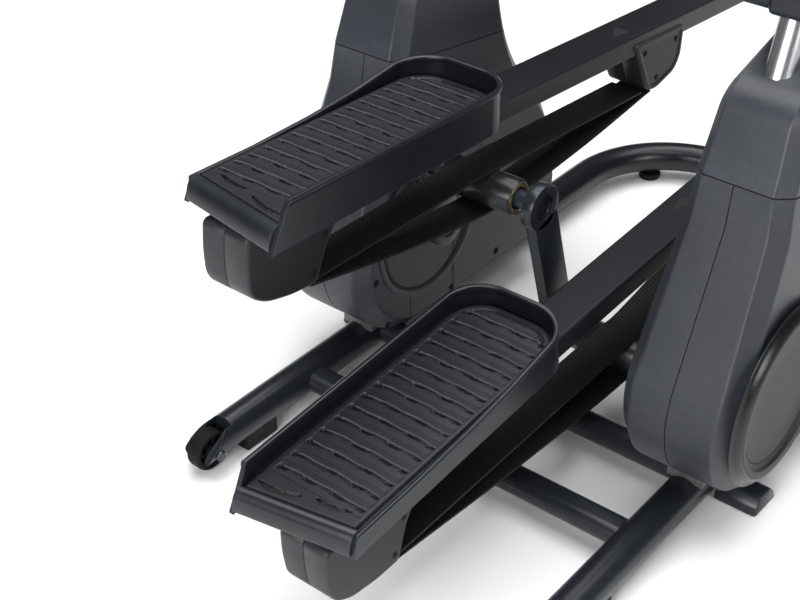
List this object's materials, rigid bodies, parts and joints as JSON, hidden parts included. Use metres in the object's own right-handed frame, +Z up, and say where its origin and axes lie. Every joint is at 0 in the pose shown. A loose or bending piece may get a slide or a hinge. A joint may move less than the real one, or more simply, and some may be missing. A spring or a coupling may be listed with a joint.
{
  "type": "elliptical trainer",
  "caption": "Free-stride elliptical trainer: two suspended footplate arms riding on belts over crank rollers between side drive housings.",
  "frame": {"origin": "on the floor, at the middle of the machine's outline", "axes": "+X to the machine's right, +Y to its front (where the console stands), +Z up"},
  "size_m": [0.8486, 1.5676, 1.6266],
  "materials": {
    "frame_paint": "satin powder coat",
    "arm_paint": "satin powder coat",
    "housing_plastic": "fine grain",
    "cap_plastic": "satin",
    "disc_plastic": "satin",
    "cover_plastic": "fine grain",
    "mat_rubber": "matt, ribbed",
    "belt_rubber": "matt, ribbed",
    "foot_rubber": "matt",
    "roller_plastic": "smooth",
    "bare_steel": "brushed",
    "pulley_iron": "machined",
    "grip_foam": "foam",
    "screen_glass": "glossy"
  },
  "bodies": {
    "frame": {"base_loop_tube": "frame_paint", "front_crossbar": "frame_paint", "rear_crossbar": "frame_paint", "rear_foot_left": "foot_rubber", "rear_foot_right": "foot_rubber", "front_foot_left": "foot_rubber", "front_foot_right": "foot_rubber", "outrigger_foot_left": "foot_rubber", "outrigger_foot_right": "foot_rubber", "wheel_axle_left": "bare_steel", "wheel_axle_right": "bare_steel", "upright_tube_left": "bare_steel", "upright_tube_right": "bare_steel", "housing_inner_shell_left": "housing_plastic", "housing_inner_shell_right": "housing_plastic", "housing_outer_shell_left": "housing_plastic", "housing_outer_shell_right": "housing_plastic", "housing_top_cap_left": "cap_plastic", "housing_top_cap_right": "cap_plastic", "side_disc_cover_left": "disc_plastic", "side_disc_cover_right": "disc_plastic", "crank_bearing_left": "frame_paint", "crank_bearing_right": "frame_paint", "swing_bracket_left": "frame_paint", "swing_bracket_right": "frame_paint", "console_housing": "cap_plastic", "console_screen": "screen_glass", "console_shelf": "cap_plastic", "drive_belt": "belt_rubber"},
    "crank": {"crankshaft": "arm_paint", "drive_pulley": "pulley_iron"},
    "flywheel": {"flywheel": "pulley_iron"},
    "roller_left": {"crank_roller_left": "roller_plastic"},
    "swing_left": {"swing_arm_left": "frame_paint", "hand_grip_left": "grip_foam"},
    "pivot_left": {"arm_pivot_pin_left": "bare_steel"},
    "arm_left": {"pedal_beam_left": "arm_paint", "footplate_tray_left": "arm_paint", "tread_mat_left": "mat_rubber", "rear_cover_inner_left": "cover_plastic", "rear_cover_outer_left": "cover_plastic", "belt_bracket_inner_left": "cover_plastic", "belt_bracket_outer_left": "cover_plastic", "support_belt_upper_left": "belt_rubber", "support_belt_lower_left": "belt_rubber"},
    "wheel_left": {"transport_wheel_left": "foot_rubber"},
    "roller_right": {"crank_roller_right": "roller_plastic"},
    "swing_right": {"swing_arm_right": "frame_paint", "hand_grip_right": "grip_foam"},
    "pivot_right": {"arm_pivot_pin_right": "bare_steel"},
    "arm_right": {"pedal_beam_right": "arm_paint", "footplate_tray_right": "arm_paint", "tread_mat_right": "mat_rubber", "rear_cover_inner_right": "cover_plastic", "rear_cover_outer_right": "cover_plastic", "belt_bracket_inner_right": "cover_plastic", "belt_bracket_outer_right": "cover_plastic", "support_belt_upper_right": "belt_rubber", "support_belt_lower_right": "belt_rubber"},
    "wheel_right": {"transport_wheel_right": "foot_rubber"}
  },
  "joints": [
    {"name": "crank_turn", "type": "hinge", "parent": "frame", "child": "crank", "pos_m": [0, -0.06375, 0.272], "axis": [-1, 0, 0], "range_deg": [0, 180]},
    {"name": "flywheel_spin", "type": "hinge", "parent": "frame", "child": "flywheel", "pos_m": [0.352, 0.15825, 0.212], "axis": [-1, 0, 0], "continuous": true},
    {"name": "roller_left_spin", "type": "hinge", "parent": "crank", "child": "roller_left", "pos_m": [-0.101, -0.1019, 0.39837], "axis": [1, 0, 0], "continuous": true},
    {"name": "swing_left_hinge", "type": "hinge", "parent": "frame", "child": "swing_left", "pos_m": [-0.205, 0.23625, 0.76], "axis": [1, 0, 0], "range_deg": [-24, 12]},
    {"name": "pivot_left_hinge", "type": "hinge", "parent": "swing_left", "child": "pivot_left", "pos_m": [-0.205, 0.70697, 0.45664], "axis": [1, 0, 0], "range_deg": [-5.64, 11.28]},
    {"name": "arm_left_hinge", "type": "hinge", "parent": "pivot_left", "child": "arm_left", "pos_m": [-0.112, 0.70697, 0.45664], "axis": [1, 0, 0], "range_deg": [0, 18.71], "deforming": ["support_belt_upper_left", "support_belt_lower_left"]},
    {"name": "wheel_left_spin", "type": "hinge", "parent": "frame", "child": "wheel_left", "pos_m": [-0.315, -0.51575, 0.037], "axis": [1, 0, 0], "continuous": true},
    {"name": "roller_right_spin", "type": "hinge", "parent": "crank", "child": "roller_right", "pos_m": [0.101, -0.0256, 0.14563], "axis": [1, 0, 0], "continuous": true},
    {"name": "swing_right_hinge", "type": "hinge", "parent": "frame", "child": "swing_right", "pos_m": [0.205, 0.23625, 0.76], "axis": [1, 0, 0], "range_deg": [-12, 24]},
    {"name": "pivot_right_hinge", "type": "hinge", "parent": "swing_right", "child": "pivot_right", "pos_m": [0.205, 0.58943, 0.32541], "axis": [1, 0, 0], "range_deg": [-11.28, 5.64]},
    {"name": "arm_right_hinge", "type": "hinge", "parent": "pivot_right", "child": "arm_right", "pos_m": [0.112, 0.58943, 0.32541], "axis": [1, 0, 0], "range_deg": [-21.2, 0], "deforming": ["support_belt_upper_right", "support_belt_lower_right"]},
    {"name": "wheel_right_spin", "type": "hinge", "parent": "frame", "child": "wheel_right", "pos_m": [0.315, -0.51575, 0.037], "axis": [1, 0, 0], "continuous": true}
  ],
  "couplings": [
    {"joint": "flywheel_spin", "follows": "crank_turn", "ratio": 5.111},
    {"joint": "pivot_left_hinge", "follows": "swing_left_hinge", "ratio": -0.47},
    {"joint": "arm_left_hinge", "follows": "crank_turn", "ratio": 0.10394},
    {"joint": "pivot_right_hinge", "follows": "swing_right_hinge", "ratio": -0.47},
    {"joint": "arm_right_hinge", "follows": "crank_turn", "ratio": -0.11778}
  ]
}
